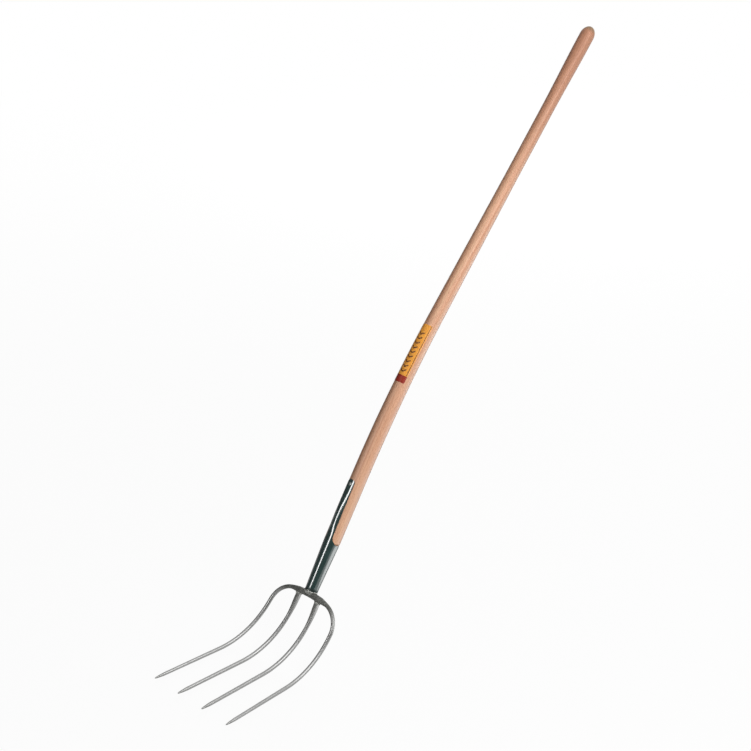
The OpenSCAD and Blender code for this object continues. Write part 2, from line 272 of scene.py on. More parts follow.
forged = Finish(bpy.data.materials.new("forged_steel"))
forged_place = forged.mark("bar_place").outputs["Vector"]
# This mark carries the dark fire scale, and on the inner tine roots it also carries painted shade on their
# front faces.
forged_scale_and_shade = forged.mark("fire_scale_and_shade").outputs["Fac"]
forged_blotch = forged.noise(forged_place, scale=0.11, detail=4.0, rough=0.6, warp=0.4)
forged_grit = forged.noise(forged_place, scale=0.6, rough=0.6)
forged_draw = forged.noise(forged.stretch(forged_place, (0.8, 0.8, 0.02)), detail=3.0, rough=0.6)
forged_dark = forged.span(forged.plus(forged_scale_and_shade, forged_blotch, part=0.55), 0.38, 1.15)
forged_bare = forged.bands(forged_draw, [(0.25, tone(145, 145, 144)), (0.5, tone(157, 157, 156)),
                                         (0.75, tone(168, 168, 167))])
forged_oxide = forged.bands(forged_blotch, [(0.3, tone(78, 79, 75)), (0.52, tone(102, 103, 99)),
                                            (0.72, tone(124, 124, 119))])
forged.fill(forged.surface, {
    "Base Color": forged.blend(forged_dark, forged_bare, forged_oxide),
    "Metallic": forged.span(forged_dark, 0.0, 1.0, 0.95, 0.55),
    "Roughness": forged.plus(forged.span(forged_draw, 0.3, 0.7, 0.31, 0.37), forged_scale_and_shade, part=0.22),
    "Normal": forged.bump(forged.plus(forged_draw, forged_grit, part=0.7), strength=0.02),
})

bar_sides = 48
bar_turns = np.linspace(0, 2 * math.pi, bar_sides, endpoint=False)
bow_fine_to = 150.0
bow_fine_step = 1.5
tine_step = 4.0
point_rows = point_len * np.linspace(1, 0, 28)[:-1] ** 1.6
tip_gap = 0.005
shoulder_down = bow_line(np.array([shoulder_end]))[1][0]
tip_run = shoulder_end + (tine_len - shoulder_down) / math.cos(splay)
heel_run = shoulder_end + (curve_end - shoulder_down) / math.cos(splay)
bow_half = np.concatenate([np.arange(0, bow_fine_to, bow_fine_step),
                           np.arange(bow_fine_to, tip_run - point_len, tine_step),
                           tip_run - point_rows, [tip_run - tip_gap]])
bow_runs = np.concatenate([-bow_half[:0:-1], bow_half])


def bow_rings(runs):
    """The bow's sections by the length of bar, with the marks for its finish: place in the bar and scale."""
    across, down, turn = bow_line(runs)
    point, downward, front = tine_sheet(across, down)
    inward = np.cos(turn)[:, None] * downward
    inward[:, 0] -= np.sin(turn)
    far = np.abs(runs)
    left = tip_run - far
    drawn = drawn_d(left, tip_run - heel_run)
    high = np.where(far < bow_taper_to, ease(far, bow_taper_from, bow_taper_to, bow_h, tine_d), drawn)
    thick = np.where(far < bow_taper_to, ease(far, bow_taper_from, bow_taper_to, bow_t, tine_d), drawn)
    power = ease(far, bow_taper_from, bow_taper_to, crown_square, round_section)[:, None]
    cut = ease(far, bow_taper_from, bow_taper_to, crown_dents, tine_dents) * share(left, 0, point_len)
    x, y = superround(bar_turns[None, :], power)
    ground = ease(far, drawn_off_from, drawn_off_to, ground_off, drawn_off)
    worn = ground[:, None] + cut[:, None] * dents(runs[:, None], bar_turns[None, :])
    worn = np.minimum(worn, drawn[:, None] * wear_limit)
    x = x * (high[:, None] / 2 - worn)
    y = y * (thick[:, None] / 2 - worn)
    rings = point[:, None] + x[..., None] * inward[:, None] + y[..., None] * front[:, None]
    place = np.stack([x, y, np.broadcast_to(runs[:, None], x.shape)], -1)
    burnt = ease(far, crown_scale_from, crown_scale_to, crown_scale, 0.0)
    burnt = burnt + ease(far, shoulder_scale_from, shoulder_scale_to, shoulder_scale, 0.0)
    burnt = burnt + ease(left, tip_scale_from, tip_scale_to, tip_scale, 0.0)
    return rings, place.reshape(-1, 3), np.repeat(burnt, bar_sides)


bow_shape, bow_marks, bow_scale = bow_rings(bow_runs)
bow_points, bow_faces = loft(bow_shape)
outer_bow_bar = build("outer_bow_bar", bow_points, bow_faces, forged,
                      {"bar_place": bow_marks, "fire_scale_and_shade": bow_scale})
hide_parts("outer_bow")


# Inner tines: two forged steel tines like the bow's ends, with a squarish root that is butted against the
# underside of the crown. Each root is cut hollow to sit on the bar, then drawn out round, curved and pointed.
# The welding has left a dark scale round the root, and its front face is painted darker still as painted
# shade.
inner_root = 28.0
inner_tip = 37.542
root_w = 10.4
root_taper = 55.0
root_square = 6.0
root_sink = 0.5
root_dents = 0.25
root_scale = 0.42
root_scale_from = 40.0
root_scale_to = 115.0
root_scale_sides = 0.5
root_scale_and_front_shade = 1.5
dents_apart = 70.0
marks_apart = 900.0
inner_first = 4.5
inner_fine_to = 250.0
inner_fine_step = 2.5
inner_root_down = crown_r - math.sqrt(crown_r ** 2 - inner_root ** 2)
inner_root_end = inner_root_down + bow_h / 2
inner_downs = np.concatenate([np.arange(inner_root_end + inner_first, inner_fine_to, inner_fine_step),
                              np.arange(inner_fine_to, tine_len - point_len, tine_step),
                              tine_len - point_rows, [tine_len - tip_gap]])


def crown_skin(front):
    """Half the crown's height by the distance to the front of its middle."""
    part = np.abs(front / (bow_t / 2))
    return bow_h / 2 * np.clip(1 - part ** crown_square, 0, None) ** (1 / crown_square)


def crown_underside(across, front):
    """How far down the sheet the crown's lower face lies, across the bow and through its thickness."""
    return crown_r - np.sqrt(crown_r ** 2 - across ** 2) + crown_skin(front)


def inner_section(downs, side):
    """The middle line and the section of an inner tine: across, half width and half thickness by turn."""
    root_end = inner_root_end + root_taper
    left = tine_len - downs
    drawn = drawn_d(left, tine_len - curve_end)
    wide = np.where(downs < root_end, ease(downs, inner_root_end, root_end, root_w, tine_d), drawn)
    power = ease(downs, inner_root_end, root_end, root_square, round_section)[:, None]
    cut = ease(downs, inner_root_end, root_end, root_dents, tine_dents) * share(left, 0, point_len)
    x, y = superround(bar_turns[None, :], power)
    worn = ground_off + cut[:, None] * dents(downs[:, None] + dents_apart * side, bar_turns[None, :])
    half = wide[:, None] / 2 - np.minimum(worn, drawn[:, None] * wear_limit)
    middle = side * taper(downs, inner_root_down, tine_len, inner_root, inner_tip)
    return middle, x * half, y * half


for side, hand in ((-1, "left"), (1, "right")):
    middle, x, y = inner_section(inner_downs, side)
    point, _, front = tine_sheet(middle, inner_downs)
    rings = point[:, None] + y[..., None] * front[:, None]
    rings[..., 0] += x
    top_middle, top_x, top_y = inner_section(np.array([inner_root_end]), side)
    seat = crown_underside(top_middle + top_x[0], top_y[0]) - root_sink
    seat_ring = np.stack([top_middle + top_x[0], -top_y[0], -seat], -1)
    points, faces = loft(np.concatenate([seat_ring[None], rings]))
    downs = np.concatenate([[inner_root_end], inner_downs])
    along = np.broadcast_to(downs[:, None] + marks_apart * side, (len(downs), bar_sides))
    place = np.stack([np.concatenate([top_x, x]), np.concatenate([top_y, y]), along], -1)
    # Painted shade: the root's scale is laid heavier on its front face than on its sides and back, to darken
    # that face.
    scale_and_front_shade = taper(place[..., 1], 0.0, root_w / 2, root_scale_sides, root_scale_and_front_shade)
    burnt = ease(downs, root_scale_from, root_scale_to, root_scale, 0.0)[:, None] * scale_and_front_shade
    burnt = burnt + ease(tine_len - downs, tip_scale_from, tip_scale_to, tip_scale, 0.0)[:, None]
    inner_tine_bar = build("inner_tine_" + hand + "_bar", points, faces, forged,
                           {"bar_place": place.reshape(-1, 3), "fire_scale_and_shade": burnt.ravel()})
    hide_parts("inner_tine_" + hand)


# Tine welds: a narrow bead of weld metal round the root of each inner tine, where it meets the bow's crown.
# The bead was laid in short overlapping steps, so it is rippled, and it is left as welded.
bead_leg = 4.0
bead_out = 1.3
bead_crest = 0.35
bead_tuck = 0.12
bead_seat = 0.35
bead_sink = 0.4
bead_shift = 0.2
bead_ripples = 17
bead_slant = 5.0
bead_plain = 0.72
bead_rippled = 0.28
bead_even = 0.82
bead_uneven = 0.18
bead_marks_apart = 60.0
bead_rows = np.linspace(0, 1, 9)[:, None]
bead_turns = np.linspace(0, 2 * math.pi, 120, endpoint=False)

weld = Finish(bpy.data.materials.new("weld_metal"))
weld_place = weld.mark("bar_place").outputs["Vector"]
weld_blotch = weld.noise(weld_place, scale=0.33, detail=4.0, rough=0.6, warp=0.5)
weld_grit = weld.noise(weld_place, scale=2.4, rough=0.6)
weld_colour = weld.bands(weld_blotch, [(0.28, tone(60, 61, 58)), (0.43, tone(108, 109, 104)),
                                       (0.56, tone(164, 165, 160)), (0.7, tone(205, 206, 201))])
weld.fill(weld.surface, {
    "Base Color": weld_colour,
    "Metallic": weld.span(weld_blotch, 0.3, 0.6, 0.6, 0.9),
    "Roughness": weld.span(weld_grit, 0.3, 0.7, 0.38, 0.55),
    "Normal": weld.bump(weld_grit, strength=0.35),
})


def ripple(turn, count, slant):
    """The stepped ripples of a weld bead, between 0 and 1."""
    wave = 0.5 + 0.5 * np.sin(count * turn + slant + 0.8 * np.sin(3 * turn + 0.5))
    return 0.75 * wave ** 0.7 + 0.25 * (0.5 + 0.5 * np.sin(2.37 * count * turn + 1.3))


def ring_loft(loops):
    """Points and faces over loops that have as many points each, joined round to the first loop again."""
    return loops.reshape(-1, 3), patch(np.pad(numbered(loops), ((0, 1), (0, 1)), "wrap"))


bead_bulge = np.sin(math.pi * (0.12 + 0.88 * bead_rows)) ** 0.6
bead_profile = bead_out * (1 - bead_rows) ** 0.8 + bead_crest * bead_bulge * bead_rows - bead_tuck
bead_waves = ripple(bead_turns[None, :], bead_ripples, bead_slant * bead_rows)
bead_half = root_w / 2 + bead_profile * (bead_plain + bead_rippled * bead_waves)
root_half = root_w / 2 - bead_sink
wave_x, wave_y = superround(bead_turns, root_square)
bead_points = []
bead_faces = []
bead_marks = []
for side in (-1, 1):
    middle = side * (inner_root + bead_shift)
    x = middle + wave_x[None, :] * bead_half
    y = wave_y[None, :] * bead_half
    leg = bead_leg * (bead_even + bead_uneven * np.sin(4 * bead_turns + 1.1 + side))
    down = crown_underside(x, y) - bead_seat + bead_rows * leg
    outside = np.stack([x, -y, -down], -1)
    root_x = middle + wave_x * root_half
    root_y = wave_y * root_half
    root_top = crown_underside(root_x, root_y) - bead_seat
    inside = np.stack([np.stack([root_x, -root_y, -edge], -1) for edge in (down[-1], root_top)])
    base = sum(len(points) for points in bead_points)
    points, faces = ring_loft(np.moveaxis(np.concatenate([outside, inside]), 0, 1))
    bead_points.append(points)
    bead_faces += [[corner + base for corner in face] for face in faces]
    bead_marks.append(points + np.array([bead_marks_apart * side, 0, 0]))
tine_weld_beads = build("tine_weld_beads", np.concatenate(bead_points), bead_faces, weld,
                        {"bar_place": np.concatenate(bead_marks)})
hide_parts("tine_welds")


# Socket: one piece of sheet steel, cut with a long tongue and rolled to a cone with its seam at the back.
# Its foot is notched over the bow, and its tongue runs up the front of the wood with a low rib along it.
# It is painted a glossy dark green, and the paint is scorched just above the weld.
socket_foot = 5.25
socket_rim = 116.5
socket_foot_d = 28.0
socket_rim_d = 35.5
socket_wall = 1.8
socket_fit = 0.2
belly_d = 35.8
tongue_top = 259.0
tongue_tip_len = 6.5
tongue_fillet = 17.0
tongue_half = math.radians(30.519)
tip_half = math.radians(28.504)
tip_sweep = math.radians(65)
fillet_half = math.radians(85.394)
tongue_bend = 0.3
seam_w = 2.0
seam_deep = 0.3
seam_from = math.radians(174)
rib_turn = 0.38
rib_soft = 2.5
rib_flank = 0.013
rib_start, rib_full, rib_fade, rib_end = 128.0, 165.0, 178.0, 240.0
edge_round = 0.3
edge_steps = 2
edge_turn = math.radians(55)
burn_full = 4.0
burn_end = 13.0
far_inside = 20.0
tongue_step = 3.0
tongue_step_least = 1.0
tongue_from = socket_rim + tongue_fillet
tip_from = tongue_top - tongue_tip_len
tongue_r = belly_d / 2 + socket_fit + socket_wall

paint = Finish(bpy.data.materials.new("green_paint"))
paint_place = paint.mark("sheet_place").outputs["Vector"]
paint_edge = paint.mark("edge_near").outputs["Fac"]
paint_burn = paint.mark("weld_burn").outputs["Fac"]
paint_peel = paint.noise(paint_place, scale=0.42)
paint_cloud = paint.noise(paint_place, scale=0.06, detail=3.0, rough=0.55)
paint_chip = paint.noise(paint_place, scale=0.55, detail=3.0, rough=0.65)
paint_bare = paint.span(paint.plus(paint_edge, paint_chip, part=4.0), 1.1, 1.4, 1.0, 0.0)
paint_scorch = paint.span(paint.plus(paint_burn, paint_chip, part=0.6), 0.55, 1.1)
paint_body = paint.bands(paint_cloud, [(0.3, tone(48, 67, 65)), (0.5, tone(54, 74, 72)),
                                       (0.72, tone(60, 80, 78))])
paint_burnt = paint.blend(paint_scorch, paint_body, tone(40, 52, 50))
paint.fill(paint.surface, {
    "Base Color": paint.blend(paint_bare, paint_burnt, tone(128, 130, 127)),
    "Metallic": paint.reckon("MAXIMUM", paint.reckon("MULTIPLY", paint_bare, 0.8),
                             paint.reckon("MULTIPLY", paint_scorch, 0.85)),
    "Roughness": paint.plus(paint.span(paint_bare, 0.0, 1.0, 0.14, 0.4), paint_scorch, part=0.4),
    "IOR": 1.9,
    "Normal": paint.bump(paint_peel, strength=0.015),
})


def around(height, turn, radius):
    """A point round the socket's middle line, at a turn from its front to its right."""
    height, turn, radius = np.broadcast_arrays(height, turn, radius)
    return np.stack([radius * np.sin(turn), -radius * np.cos(turn), height], -1)


def cone_r(height):
    """The outer radius of the rolled cone, which the tongue carries on upwards."""
    slope = (socket_rim_d - socket_foot_d) / 2 / (socket_rim - socket_foot)
    return socket_foot_d / 2 + slope * (height - socket_foot)


def sheet_r(height):
    """The sheet's outer radius: the cone, then the tongue bent softly on to the wood."""
    return tongue_r - tongue_bend * np.log1p(np.exp((tongue_r - cone_r(height)) / tongue_bend))


def rib(arc, half):
    """How far the rib stands out of the tongue, by the distance from its middle line."""
    arc = np.minimum(np.abs(arc), half)
    ridge = rib_turn * rib_soft * (np.log(np.cosh(half / rib_soft)) - np.log(np.cosh(arc / rib_soft)))
    return ridge - (1 / tongue_r - rib_flank) * (half ** 2 - arc ** 2) / 2


def socket_outside(height, turn):
    """The sheet's outer radius with the shallow seam along the back and the rib along the tongue."""
    skin = sheet_r(height)
    seam = seam_deep * np.exp(-(2 * (math.pi - np.abs(turn)) * skin / seam_w) ** 2)
    pressed = ease(height, rib_start, rib_full, 0, 1) * ease(height, rib_fade, rib_end, 1, 0)
    return skin - seam + pressed * rib(turn * skin, tongue_half * skin)


def socket_foot_edge(turn):
    """The sheet's lower edge: square to the cone, notched where it stands on the bow."""
    across = socket_foot_d / 2 * np.sin(turn)
    arch = crown_r - np.sqrt(crown_r ** 2 - across ** 2)
    return np.maximum(socket_foot, crown_skin(socket_foot_d / 2 * np.cos(turn)) - arch)


front_turns = np.linspace(-tongue_half, tongue_half, 41)
fillet_steps = np.linspace(0, math.pi / 2, 17)[1:]
fillet_turns = tongue_half + (fillet_half - tongue_half) * (1 - np.cos(fillet_steps))
fillet_edge = socket_rim + tongue_fillet * (1 - np.sin(fillet_steps))
back_turns = np.concatenate([np.linspace(fillet_half, seam_from, 23)[1:],
                             np.linspace(seam_from, math.pi, 9)[1:]])
side_turns = np.concatenate([fillet_turns, back_turns])
side_edge = np.concatenate([fillet_edge, np.full(len(back_turns), socket_rim)])
cone_turns = np.concatenate([front_turns, side_turns, -side_turns[-2::-1]])
cone_edge = np.concatenate([np.full(len(front_turns), tongue_from), side_edge, side_edge[-2::-1]])
cone_rows = np.linspace(0, 1, 41)[:, None]
cone_foot = socket_foot_edge(cone_turns)
cone_heights = cone_foot + (cone_edge - cone_foot) * cone_rows
cone_across = np.broadcast_to(cone_turns, cone_heights.shape)

tongue_rows = np.arange(tongue_from + tongue_step, tip_from - tongue_step_least, tongue_step)
tongue_rows = np.concatenate([tongue_rows, [tip_from]])[:, None]
tongue_share = front_turns[None, :] / tongue_half
tongue_across = tongue_share * taper(tongue_rows, tongue_from, tip_from, tongue_half, tip_half)
tip_steps = np.linspace(0, 1, 9)[1:, None]
tip_side = np.cos(tip_steps * tip_sweep)
tip_across = tongue_share * tip_half * tip_side
tip_edge = tongue_tip_len * np.sqrt(1 - (tongue_share * tip_side) ** 2)
tip_low = tongue_tip_len * np.sin(tip_steps * tip_sweep)
tip_heights = tip_from + tip_low + tip_steps * (tip_edge - tip_low)
tongue_heights = np.concatenate([np.broadcast_to(tongue_rows, tongue_across.shape), tip_heights])
tongue_across = np.concatenate([tongue_across, tip_across])

sheet_turn = np.concatenate([cone_across.ravel(), tongue_across.ravel()])
sheet_height = np.concatenate([cone_heights.ravel(), tongue_heights.ravel()])
sheet_points = around(sheet_height, sheet_turn, socket_outside(sheet_height, sheet_turn))
cone_numbers = numbered(cone_heights)
tongue_root = cone_numbers[-1:, :len(front_turns)]
tongue_numbers = np.concatenate([tongue_root, numbered(tongue_heights) + cone_numbers.size])
sheet_faces = patch(np.pad(cone_numbers, ((0, 0), (0, 1)), "wrap")) + patch(tongue_numbers)
cone_to_edge = np.where(np.abs(cone_turns) < tongue_half, far_inside, cone_edge - cone_heights)
tongue_sides = taper(tongue_heights, tongue_from, tip_from, tongue_half, tip_half) - np.abs(tongue_across)
tip_round = np.sqrt(1 - np.clip(tongue_across / tip_half, -1, 1) ** 2)
tongue_to_edge = np.minimum(tongue_sides * tongue_r, tip_from + tongue_tip_len * tip_round - tongue_heights)
sheet_to_edge = np.concatenate([cone_to_edge.ravel(), tongue_to_edge.ravel()])
socket_sheet = build("socket_sheet", sheet_points, sheet_faces, paint,
                     {"sheet_place": around(sheet_height, sheet_turn, sheet_r(sheet_height)),
                      "edge_near": np.clip(sheet_to_edge, 0, far_inside),
                      "weld_burn": ease(sheet_height - socket_foot, burn_full, burn_end, 1.0, 0.0)})
wall = socket_sheet.modifiers.new("sheet_wall", "SOLIDIFY")
wall.thickness = socket_wall / 1000
wall.offset = -1.0
wall.use_even_offset = True
edges = socket_sheet.modifiers.new("soft_edges", "BEVEL")
edges.width = edge_round / 1000
edges.segments = edge_steps
edges.limit_method = "ANGLE"
edges.angle_limit = edge_turn
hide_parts("socket")


# Socket weld: the bead that joins the foot of the socket to the crown of the bow, laid all the way round.
# It is rippled weld metal like the beads of the tines, and the paint stops just above it.
socket_leg = 4.0
leg_even = 0.75
leg_uneven = 0.25
foot_bead_out = 1.35
foot_bead_low = -1.25
foot_bead_neck = 8.6
foot_bead_ripples = 26
foot_bead_slant = 4.0
foot_bead_plain = 0.62
foot_bead_rippled = 0.38
foot_on_crown = 0.5
foot_on_crown_in = 0.6
foot_in_edge = 0.1
foot_in_cone = 0.05
foot_sink_low = 1.6
foot_sink_top = 0.4
foot_turns = np.linspace(0, 2 * math.pi, 180, endpoint=False)
foot_rows = np.linspace(0, 1, 11)[:, None]
foot_r = socket_foot_d / 2
foot_out = foot_bead_out * np.sin(math.pi * (0.18 + 0.82 * foot_rows)) ** 0.8
foot_waves = ripple(foot_turns[None, :], foot_bead_ripples, foot_bead_slant * foot_rows)
foot_swell = foot_out * (foot_bead_plain + foot_bead_rippled * foot_waves)
foot_top = socket_foot + socket_leg * (leg_even + leg_uneven * np.sin(5 * foot_turns + 0.7))
foot_low = crown_skin((foot_r - foot_on_crown_in) * np.cos(foot_turns)) - foot_on_crown
foot_low = np.maximum(foot_low, foot_bead_low)
foot_heights = foot_low + (foot_top - foot_low) * foot_rows
foot_neck = taper(foot_heights, foot_bead_low, socket_foot, foot_bead_neck, foot_r - foot_in_edge)
foot_skin = np.where(foot_heights < socket_foot, foot_neck, cone_r(foot_heights) - foot_in_cone)
foot_sink = taper(foot_heights, foot_bead_low, socket_foot, foot_sink_low, foot_sink_top)
foot_outside = around(foot_heights, foot_turns[None, :], foot_skin + foot_swell)
foot_inside = around(foot_heights, foot_turns[None, :], foot_skin - foot_sink)[::-1]
foot_points, foot_faces = ring_loft(np.moveaxis(np.concatenate([foot_outside, foot_inside]), 0, 1))
socket_weld_bead = build("socket_weld_bead", foot_points, foot_faces, weld, {"bar_place": foot_points})
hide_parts("socket_weld")


# Handle: one turned shaft of pale, pinkish beech under a thin clear lacquer, steam-bent a little to the back.
# Its lower end is cut to the socket's cone and let in under the tongue, so that wood and steel are flush.
# It thins to a plain grip below a domed knob, where hands have darkened it and the end grain is dark.
handle_foot = 25.0
handle_top = 1380.0
belly_to = 400.0
grip_d = 28.2
grip_from = 1000.0
grip_to = 1170.0
knob_d = 32.4
knob_from = 1340.0
dome_from = 1357.0
flush_len = 4.0
let_in_soft = 0.8
bend_from = 259.0
bend_len = 400.0
handle_bend = math.radians(8.2)
tan_from = 850.0
end_ring = 5.0
fine_from = math.radians(27)
fine_to = math.radians(88)

wood = Finish(bpy.data.materials.new("turned_beech"))
wood_place = wood.mark("shaft_place").outputs["Vector"]
wood_worn = wood.mark("hand_dark").outputs["Fac"]
wood_end = wood.mark("end_grain").outputs["Fac"]
wood_board = wood.stretch(wood_place, (0.34, 0.13, 0.0032), (3.1, 0.7, 0.0))
wood_year = wood.noise(wood_board, detail=3.0, rough=0.55, warp=0.35)
wood_streak = wood.noise(wood.stretch(wood_place, (0.8, 0.8, 0.008)), detail=3.0, rough=0.6)
wood_fibre = wood.noise(wood.stretch(wood_place, (3.6, 3.6, 0.07)), rough=0.6)
wood_fleck = wood.noise(wood.stretch(wood_place, (1.5, 1.5, 0.2)), detail=0.0)
wood_body = wood.bands(wood_year, [(0.28, tone(203, 143, 109)), (0.44, tone(220, 164, 129)),
                                   (0.56, tone(228, 177, 142)), (0.74, tone(235, 190, 153))])
wood_lines = wood.blend(wood.span(wood_streak, 0.52, 0.72, 0.0, 0.6), wood_body, tone(196, 134, 102))
wood_fine = wood.blend(wood.span(wood_fibre, 0.5, 0.75, 0.0, 0.35), wood_lines, tone(188, 130, 100))
wood_flecks = wood.blend(wood.span(wood_fleck, 0.66, 0.74, 0.0, 0.55), wood_fine, tone(160, 100, 74))
# Painted shade: the wood's colour is darkened down its left side and round its back, where shade falls on the
# handle.
wood_side = wood.add("SeparateXYZ", {"Vector": wood_place})
wood_left_shade = wood.span(wood_side.outputs["X"], -9.0, 11.0, 0.5, 0.0)
wood_back_shade = wood.span(wood_side.outputs["Y"], -9.0, 9.0, 0.5, 0.0)
wood_painted_shade = wood.blend(wood.reckon("MAXIMUM", wood_left_shade, wood_back_shade), wood_flecks, tone(168, 118, 88))
wood_tan = wood.bands(wood_streak, [(0.36, tone(187, 128, 97)), (0.5, tone(176, 119, 89)),
                                    (0.66, tone(156, 101, 73))])
wood_tanned = wood.blend(wood.reckon("MULTIPLY", wood_worn, 0.85), wood_painted_shade, wood_tan)
wood_ended = wood.span(wood.plus(wood_end, wood_streak, part=0.4), 0.4, 1.2, 0.0, 0.8)
wood_height = wood.reckon("MULTIPLY", wood.reckon("SUBTRACT", wood_streak, wood_fibre), 0.5)
wood.fill(wood.surface, {
    "Base Color": wood.blend(wood_ended, wood_tanned, tone(136, 110, 80)),
    "Roughness": wood.span(wood_streak, 0.3, 0.7, 0.42, 0.54),
    "Specular IOR Level": 0.6,
    "Normal": wood.bump(wood_height, strength=0.2, depth=0.0003),
})


def wood_r(height):
    """The bare handle's radius by its length from the bow's middle."""
    height = np.asarray(height, float)
    in_cone = cone_r(np.minimum(height, socket_rim)) - socket_wall - socket_fit
    shaft = ease(height, socket_rim, socket_rim + flush_len, in_cone, belly_d / 2)
    shaft = np.where(height > belly_to, taper(height, belly_to, grip_from, belly_d / 2, grip_d / 2), shaft)
    shaft = np.where(height > grip_to, ease(height, grip_to, knob_from, grip_d / 2, knob_d / 2), shaft)
    dome = knob_d / 2 * np.sqrt(1 - share(height, dome_from, handle_top) ** 2)
    return np.where(height > dome_from, dome, shaft)


def under_sheet(height, turn):
    """1 where the socket's sheet covers the wood and 0 where the wood is bare, with a soft step between."""
    beside = np.maximum(fillet_half - np.abs(turn), 0) * tongue_fillet / (fillet_half - tongue_half)
    below = np.maximum(tongue_from - height, 0)
    covered = ease(np.hypot(beside, below) - tongue_fillet, -let_in_soft, 0, 0, 1)
    return np.where(height < tip_from, covered, 0)


def wood_skin(height, turn):
    """The handle's radius, let in where the socket and its tongue lie on it."""
    bare = wood_r(height)
    let_in = np.maximum(bare - (sheet_r(height) - socket_wall - socket_fit), 0)
    return bare - under_sheet(height, turn) * let_in


def shaft_point(height, turn, radius):
    """A point round the handle's middle line, at a turn from its front to its right."""
    height, turn, radius = np.broadcast_arrays(height, turn, radius)
    bend = share(height, bend_from, bend_from + bend_len) * handle_bend
    bend_r = bend_len / handle_bend
    before = np.minimum(height, bend_from)
    after = np.maximum(height - bend_from - bend_len, 0)
    back = bend_r * (1 - np.cos(bend)) + after * np.sin(bend) - radius * np.cos(turn) * np.cos(bend)
    up = before + bend_r * np.sin(bend) + after * np.cos(bend) + radius * np.cos(turn) * np.sin(bend)
    return np.stack([radius * np.sin(turn), back, up], -1)


# Stretches of rows up the handle, each from, to and by a step, the finest round the root of the tongue.
handle_stretches = [(30.0, 114.0, 6.0), (114.0, 136.0, 0.5), (136.0, 205.0, 3.0), (205.0, grip_to, 6.0),
                    (grip_to, dome_from, 3.0)]
dome_steps = np.sin(np.linspace(0, 0.48, 24) * math.pi)
handle_heights = np.concatenate([[handle_foot]] + [np.arange(*stretch) for stretch in handle_stretches]
                                + [dome_from + (handle_top - dome_from) * dome_steps])
handle_right = np.concatenate([np.linspace(0, fine_from, 10)[:-1], np.linspace(fine_from, fine_to, 66)[:-1],
                               np.linspace(fine_to, math.pi, 31)])
handle_turns = np.concatenate([handle_right, -handle_right[-2:0:-1]])
handle_sides = len(handle_turns)
handle_skin = wood_skin(handle_heights[:, None], handle_turns[None, :])
handle_points, handle_faces = loft(shaft_point(handle_heights[:, None], handle_turns[None, :], handle_skin))
handle_place = np.stack(np.broadcast_arrays(
    handle_skin * np.sin(handle_turns), handle_skin * np.cos(handle_turns), handle_heights[:, None]), -1)
handle_dark = np.repeat(ease(handle_heights, tan_from, knob_from, 0.0, 1.0), handle_sides)
handle_end = np.repeat(ease(handle_heights, dome_from, handle_top - end_ring, 0.0, 1.0), handle_sides)
handle_shaft = build("handle_shaft", handle_points, handle_faces, wood,
                     {"shaft_place": handle_place.reshape(-1, 3), "hand_dark": handle_dark,
                      "end_grain": handle_end})
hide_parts("handle")


# Tongue nail: one domed steel nail, driven through the tip of the tongue into the wood to hold the handle.
# Its head is bright and a little flattened by the hammer.
nail_height = 248.6
nail_head_r = 3.75
nail_head_h = 1.8
nail_head_soft = 0.15
nail_d = 3.4
nail_len = 26.0
nail_point = 4.5
nail_point_r = 0.15
nail_lip = 0.25
nail_seat = 19.364
nail_turns = np.linspace(0, 2 * math.pi, 40, endpoint=False)
nail_steps = np.radians(np.linspace(0, 86, 12)[1:])

bright = Finish(bpy.data.materials.new("bright_nail"))
bright_place = bright.mark("bar_place").outputs["Vector"]
bright_dull = bright.noise(bright_place, scale=0.8, detail=3.0, rough=0.6)
bright_scratch = bright.noise(bright.stretch(bright_place, (0.5, 3.0, 0.5)), rough=0.6)
bright.fill(bright.surface, {
    "Base Color": bright.bands(bright_dull, [(0.3, tone(104, 106, 103)), (0.7, tone(150, 152, 148))]),
    "Metallic": 0.9,
    "Roughness": bright.span(bright_scratch, 0.3, 0.7, 0.3, 0.48),
    "Normal": bright.bump(bright_dull, strength=0.2),
})
nail_profile = [(nail_point_r, -nail_len), (nail_d / 2, nail_point - nail_len), (nail_d / 2, 0.0),
                (nail_head_r - nail_head_soft, 0.0), (nail_head_r, nail_lip)]
nail_profile += [(nail_head_r * math.cos(step), nail_lip + (nail_head_h - nail_lip) * math.sin(step))
                 for step in nail_steps]
nail_rings = np.array([[(radius * math.cos(turn), -nail_seat - out, nail_height + radius * math.sin(turn))
                        for turn in nail_turns] for radius, out in nail_profile])
nail_points, nail_faces = loft(nail_rings)
tongue_nail_pin = build("tongue_nail_pin", nail_points, nail_faces, bright, {"bar_place": nail_points})
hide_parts("tongue_nail")


# Label: a glossy plastic sticker with rounded corners, wrapped round the front of the handle. It is printed
# amber with a plain dark red end band, a thin brown rule along each edge and a row of brown chevrons.
label_from = 486.0
label_len = 136.0
label_w = 32.0
label_corner = 3.0
label_glue = 0.1
label_t = 0.25
label_step = 2.5
band_end = 16.0
rule_from = 12.6
rule_to = 14.2
chevron_slope = 0.7
chevron_pitch = 11.0
chevron_w = 3.6
chevron_half = 7.0
chevrons_from = 22.0
chevrons_to = 121.0

vinyl = Finish(bpy.data.materials.new("printed_label"))
vinyl_place = vinyl.mark("label_place").outputs["Vector"]
vinyl_axes = vinyl.add("SeparateXYZ", {"Vector": vinyl_place})
vinyl_across = vinyl.reckon("ABSOLUTE", vinyl_axes.outputs["X"], 0.0)
vinyl_along = vinyl_axes.outputs["Y"]
vinyl_ink = vinyl.noise(vinyl_place, scale=0.35, detail=3.0, rough=0.6)
vinyl_amber = vinyl.bands(vinyl_ink, [(0.3, tone(247, 160, 46)), (0.7, tone(252, 178, 74))])


def printed(value, low, high):
    """1 where a value lies between two limits of the print, and 0 elsewhere."""
    return vinyl.reckon("MULTIPLY", vinyl.reckon("GREATER_THAN", value, low),
                        vinyl.reckon("LESS_THAN", value, high))


